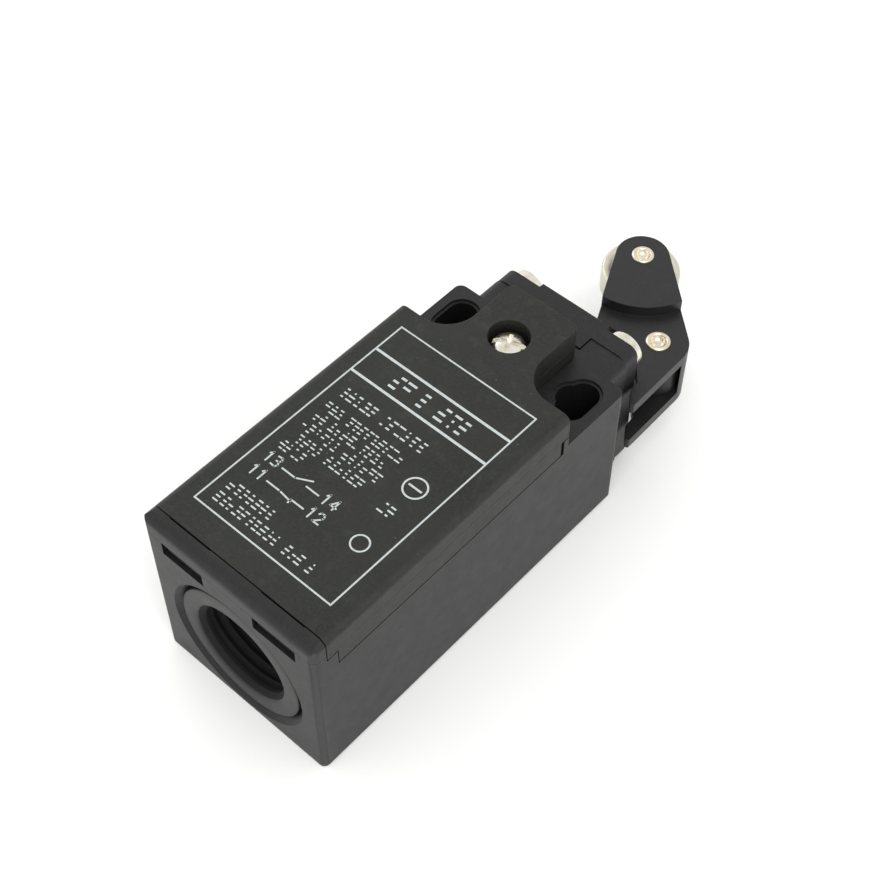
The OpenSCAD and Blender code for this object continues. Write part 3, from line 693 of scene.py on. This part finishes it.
class SWITCH_OT_head_screws(Builder):
    """Makes the head's four domed screws with cross recesses"""

    bl_idname = "limit_switch.head_screws"
    bl_label = "Head screws"
    ARM_SHARE = 0.44  # half the width of a cross's arm, as a share of the driver slot's width
    FIRST_ANGLE, ANGLE_STEP = 17, 31  # degrees; each screw has stopped at its own angle

    def build(self, shape):
        low, high, mid = extent("head_screws")
        head, reach = shape.head_screw_radius, shape.cross_reach
        off = (high.x - low.x) / 2 - head
        half = shape.driver_width * self.ARM_SHARE
        floor, above = high.y - shape.cross_depth, high.y + MM
        bm, first, second = bmesh.new(), bmesh.new(), bmesh.new()
        for i, (sx, sz) in enumerate(((-1, -1), (-1, 1), (1, -1), (1, 1))):
            place = along_y(mid.x + sx * off, mid.z + sz * off)
            angle = self.FIRST_ANGLE + self.ANGLE_STEP * i
            turned = place @ Matrix.Rotation(math.radians(angle), 4, "Z")
            turn(bm, screw_section(low.y, high.y, head, shape), 56, place)
            block(first, (-reach, -half, floor), (reach, half, above), turned, shape.cross_taper)
            block(second, (-half, -reach, floor), (half, reach, above), turned, shape.cross_taper)
        bm = cut_away(cut_away(bm, first), second)
        add_piece("domed_head_screws", bm, "nickel_steel", "case", ["head_screws"], 30.0)


class SWITCH_OT_entry_bush(Builder):
    """Makes the cable entry's bush, with its flange, eased mouth and helical threads"""

    bl_idname = "limit_switch.entry_bush"
    bl_label = "Entry bush"

    def build(self, shape):
        low, high, mid = extent("entry_bush")
        flange = (high.x - low.x) / 2
        outer, bore = shape.bush_outer, shape.bush_bore
        pitch, depth = shape.thread_pitch, shape.thread_depth
        start, end = low.y, high.y
        inner_from, outer_from = start + 1.3 * MM, start + shape.bush_flange + 0.4 * MM
        run_out = 0.5 * pitch
        mouth = 0.9 * MM
        ease = 0.25 * MM

        def thread(radius, height, angle):
            phase = (height / pitch + angle / (2 * math.pi)) % 1.0
            ridge = min(1.0, 2.6 * min(phase, 1 - phase))
            if abs(radius - bore) < TINY and height > inner_from:
                fade = min(1.0, (height - inner_from) / pitch, (end - height) / run_out)
                return radius + depth * ridge * max(0.0, fade)
            if abs(radius - outer) < TINY and height > outer_from:
                fade = min(1.0, (height - outer_from) / pitch, (end - height) / run_out)
                return radius - depth * ridge * max(0.0, fade)
            return radius

        rows = 56
        section = [(bore, end - (end - start - mouth) * i / rows) for i in range(rows + 1)]
        section += [(bore + 0.75 * MM, start + 0.12 * MM), (bore + 0.95 * MM, start)]
        section += [(flange - ease, start)] + arc(flange - ease, start + ease, ease, ease, -90, 0, 4)[1:]
        section += [(flange, start + shape.bush_flange), (outer, start + shape.bush_flange)]
        first = start + shape.bush_flange + 0.05 * MM
        section += [(outer, first + (end - first) * i / rows) for i in range(rows + 1)]
        bm = bmesh.new()
        turn(bm, section, shape.segments, along_y(mid.x, mid.z), closed=True, thread=thread)
        add_piece("threaded_entry_bush", bm, "bush_plastic", "case", ["entry_bush"], 40.0)


class Print:
    """Flat printed shapes on the cover, placed in millimetres from the centre line and the cable end."""

    DIGITS = {
        "1": [[(0.15, 0.75), (0.5, 1.0), (0.5, 0.0)]],
        "2": [[(0.0, 0.78), (0.2, 1.0), (0.7, 1.0), (0.9, 0.75), (0.85, 0.55), (0.0, 0.0), (0.95, 0.0)]],
        "3": [
            [(0.0, 0.95), (0.65, 1.0), (0.88, 0.78), (0.65, 0.54), (0.3, 0.52)],
            [(0.65, 0.54), (0.92, 0.26), (0.65, 0.0), (0.0, 0.04)],
        ],
        "4": [[(0.7, 0.0), (0.7, 1.0), (0.0, 0.3), (0.98, 0.3)]],
    }

    def __init__(self, height):
        self.bm = bmesh.new()
        low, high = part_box("housing")
        self.origin = Vector(((low[0] + high[0]) / 2, low[1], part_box("cover")[1][2]))
        self.height = height

    def bar(self, x0, y0, x1, y1):
        low = self.origin + Vector((x0 * MM, y0 * MM, -self.height))
        high = self.origin + Vector((x1 * MM, y1 * MM, self.height))
        block(self.bm, low, high)

    def stroke(self, start, end, width):
        a, b = Vector(start), Vector(end)
        along = (b - a).normalized()
        reach = (b - a).length + width * 0.5
        turn_by = Matrix.Rotation(math.atan2(along.y, along.x), 4, "Z")
        place = Matrix.Translation(self.origin + Vector((a.x * MM, a.y * MM, 0.0))) @ turn_by
        low = (-width * 0.25 * MM, -width * MM / 2, -self.height)
        block(self.bm, low, (reach * MM, width * MM / 2, self.height), place)

    def ring(self, x, y, radius, width):
        place = Matrix.Translation(self.origin + Vector((x * MM, y * MM, 0.0)))
        inner, outer = (radius - width) * MM, radius * MM
        section = [(inner, -self.height), (outer, -self.height), (outer, self.height), (inner, self.height)]
        turn(self.bm, section, 48, place, closed=True)

    def number(self, digits, x, y, height, width):
        for digit in digits:
            for path in self.DIGITS[digit]:
                points = [(x + 0.62 * height * px, y + height * py) for px, py in path]
                for a, b in zip(points, points[1:]):
                    self.stroke(a, b, width)
            x += 0.86 * height

    def greeked(self, x0, x1, y, height, words, seed):
        """A row of small stacked dashes that stands for wording without being any."""
        pick = random.Random(seed)
        x = x0
        cell = 0.72 * height
        thick = 0.15 * height
        for letters in words:
            for _ in range(letters):
                if x + cell > x1:
                    return
                for level in (0.0, 0.42, 0.83):
                    if pick.random() < 0.88:
                        left = x + cell * 0.16 * pick.randint(0, 2)
                        right = x + cell * (0.82 - 0.16 * pick.randint(0, 2))
                        self.bar(left, y + height * level, right, y + height * level + thick)
                x += cell
            x += cell * 0.7


class SWITCH_OT_panel_print(Builder):
    """Prints the frame, rules, contact diagram and stand-in wording on the cover"""

    bl_idname = "limit_switch.panel_print"
    bl_label = "Panel print"

    # all in millimetres from the centre line and the cable end
    FRAME_HALF, FRAME_NEAR, FRAME_FAR = 11.93, 6.16, 44.27
    RULES, RULE_HALF = (39.1, 34.3), 0.2
    LINE = 0.24
    # left end, right end, place and height of a row, the lengths of its words, and its random seed
    UPPER_ROWS = (
        (-6.3, 8.0, 35.4, 2.5, (2, 1, 4), 7),
        (-10.1, 5.4, 30.0, 1.75, (5, 6), 11),
        (-10.0, 4.4, 27.0, 1.5, (3, 9), 20),
        (-10.0, 4.4, 24.9, 1.5, (2, 9), 21),
        (-10.0, 4.4, 22.8, 1.5, (6, 6), 22),
        (-10.0, 4.4, 20.7, 1.5, (5, 6), 23),
        (-10.0, 4.4, 18.7, 1.5, (4,), 24),
    )
    LOWER_ROWS = (
        (-10.1, -1.5, 9.9, 1.55, (8,), 31),
        (-10.1, 7.4, 7.6, 1.55, (10, 3, 3), 32),
    )
    SIDE_ROW = (6.2, 9.6, 20.0, 1.7, (3,), 41)
    # place, terminal numbers, and whether the contact is closed at rest
    CONTACTS = ((16.2, "13", "14", False), (13.5, "11", "12", True))
    NUMBER_HEIGHT, FIRST_NUMBER, SECOND_NUMBER = 1.6, -9.9, 0.2
    LEAD_START, LEAD_END, ARM_END, TAIL_START, TAIL_END = -6.9, -4.6, -2.5, -2.6, -0.5
    # x, y, radius and line width
    BARRED_RING = (7.7, 25.6, 1.75, 0.26)
    RING_BAR = (6.6, 25.45, 8.8, 25.75)
    PLAIN_RING = (8.3, 15.0, 1.35, 0.24)

    def frame_and_rules(self, p, w):
        half, near, far = self.FRAME_HALF, self.FRAME_NEAR, self.FRAME_FAR
        p.bar(-half, near, half, near + w)
        p.bar(-half, far - w, half, far)
        p.bar(-half, near + w, -half + w, far - w)
        p.bar(half - w, near + w, half, far - w)
        for y in self.RULES:
            p.bar(-half + w, y - self.RULE_HALF, half - w, y + self.RULE_HALF)

    def contact(self, p, y, first, second, closed):
        """Two numbers joined by a switch symbol, whose arm rests on its partner when it is closed."""
        line, level = self.LINE, y + 0.5
        p.number(first, self.FIRST_NUMBER, y, self.NUMBER_HEIGHT, line)
        p.number(second, self.SECOND_NUMBER, y, self.NUMBER_HEIGHT, line)
        p.stroke((self.LEAD_START, level), (self.LEAD_END, level), line)
        p.stroke((self.TAIL_START, level), (self.TAIL_END, level), line)
        p.stroke((self.LEAD_END, level), (self.ARM_END, y + (0.25 if closed else 1.6)), line)
        if closed:
            p.stroke((self.TAIL_START, level), (self.TAIL_START, y - 0.05), line)

    def build(self, shape):
        p = Print(shape.ink_height)
        self.frame_and_rules(p, shape.line_width / MM)
        for row in self.UPPER_ROWS:
            p.greeked(*row)
        for contact in self.CONTACTS:
            self.contact(p, *contact)
        for row in self.LOWER_ROWS:
            p.greeked(*row)
        p.ring(*self.BARRED_RING)
        p.bar(*self.RING_BAR)
        p.greeked(*self.SIDE_ROW)
        p.ring(*self.PLAIN_RING)
        add_piece("panel_print", p.bm, "panel_print", "case", smooth_angle=30.0)


class SWITCH_OT_studio(bpy.types.Operator):
    """Sets up the floor, lights, surroundings and camera"""

    bl_idname = "limit_switch.studio"
    bl_label = "Studio"
    bl_options = {"REGISTER", "UNDO"}
    FLOOR_HALF = 3.0
    FLOOR_DROP = 0.1 * MM
    # name, place, aim, width and height of each lamp, in metres
    LAMPS = (
        ("key", (0.34, -0.26, 0.62), (0.0, 0.0, 0.0), 0.50, 0.50),
        ("rim", (-0.42, 0.10, 0.30), (0.0, 0.0, 0.01), 0.30, 0.20),
    )
    # how far up, from 0 at the horizon to 1 overhead, the walls start and finish turning into the ceiling
    CEILING_START, CEILING_END = 0.30, 0.80

    @staticmethod
    def add(name, data, place, target, roll=0.0):
        obj = bpy.data.objects.new(name, data)
        bpy.context.scene.collection.objects.link(obj)
        facing = (Vector(target) - Vector(place)).to_track_quat("-Z", "Y").to_matrix().to_4x4()
        obj.matrix_world = Matrix.Translation(place) @ facing @ Matrix.Rotation(roll, 4, "Z")
        return obj

    def lamp(self, name, place, target, width, height, power):
        lamp = bpy.data.lights.new(name, "AREA")
        lamp.shape = "RECTANGLE"
        lamp.size, lamp.size_y = width, height
        lamp.energy = power
        return self.add(name, lamp, place, target)

    def execute(self, context):
        studio = context.scene.switch_studio
        scene = context.scene
        mesh = bpy.data.meshes.new("floor")
        bm = bmesh.new()
        bmesh.ops.create_grid(bm, x_segments=1, y_segments=1, size=self.FLOOR_HALF)
        bm.to_mesh(mesh)
        bm.free()
        floor = bpy.data.objects.new("floor", mesh)
        scene.collection.objects.link(floor)
        floor.location.z = -self.FLOOR_DROP
        mesh.materials.append(material("studio_card"))

        camera = bpy.data.cameras.new("camera")
        camera.sensor_width = 36.0
        camera.lens = studio.focal_length
        camera.clip_start = 0.01
        scene.camera = self.add("camera", camera, studio.camera_place, studio.camera_aim, studio.camera_roll)

        for name, place, target, width, height in self.LAMPS:
            self.lamp(name, place, target, width, height, getattr(studio, name + "_power"))

        world = bpy.data.worlds.new("studio")
        scene.world = world
        world.use_nodes = True
        nodes = Nodes(world.node_tree)
        background = world.node_tree.nodes["Background"]
        # white walls all round under a slightly darker ceiling
        direction = nodes.node("ShaderNodeTexCoord", output="Generated")
        up = nodes.node("ShaderNodeSeparateXYZ", values={0: direction}, output="Z")
        ceiling = (studio.ceiling, studio.ceiling, studio.ceiling * 0.98, 1.0)
        walls = nodes.blend(up.ramp(self.CEILING_START, self.CEILING_END), (1.0, 1.0, 0.99, 1.0), ceiling)
        nodes.set(background.inputs["Color"], walls)
        nodes.set(background.inputs["Strength"], studio.sky_level)
        scene.view_settings.view_transform = "Standard"
        return {"FINISHED"}


class SWITCH_PT_panel(bpy.types.Panel):
    """Sidebar panel with the switch's settings and steps"""

    bl_idname = "SWITCH_PT_panel"
    bl_label = "Limit switch"
    bl_space_type = "VIEW_3D"
    bl_region_type = "UI"
    bl_category = "Limit switch"

    def draw(self, context):
        for group in (context.scene.switch_shape, context.scene.switch_studio):
            box = self.layout.box()
            for key in group.bl_rna.properties.keys():
                if key not in {"rna_type", "name"}:
                    box.prop(group, key)
        for step in STEPS:
            self.layout.operator(step.bl_idname)


STEPS = (
    SWITCH_OT_packed_parts,
    SWITCH_OT_roller,
    SWITCH_OT_rivets,
    SWITCH_OT_plunger,
    SWITCH_OT_cover_screw,
    SWITCH_OT_head_screws,
    SWITCH_OT_entry_bush,
    SWITCH_OT_panel_print,
    SWITCH_OT_studio,
)
CLASSES = (SwitchShape, SwitchStudio, *STEPS, SWITCH_PT_panel)


def register():
    for cls in CLASSES:
        bpy.utils.register_class(cls)
    bpy.types.Scene.switch_shape = PointerProperty(type=SwitchShape)
    bpy.types.Scene.switch_studio = PointerProperty(type=SwitchStudio)


def unregister():
    del bpy.types.Scene.switch_studio
    del bpy.types.Scene.switch_shape
    for cls in reversed(CLASSES):
        bpy.utils.unregister_class(cls)


def main():
    register()
    for step in STEPS:
        group, name = step.bl_idname.split(".")
        if getattr(getattr(bpy.ops, group), name)() != {"FINISHED"}:
            raise RuntimeError(f"{step.bl_label} didn't finish")


if __name__ == "__main__":
    main()
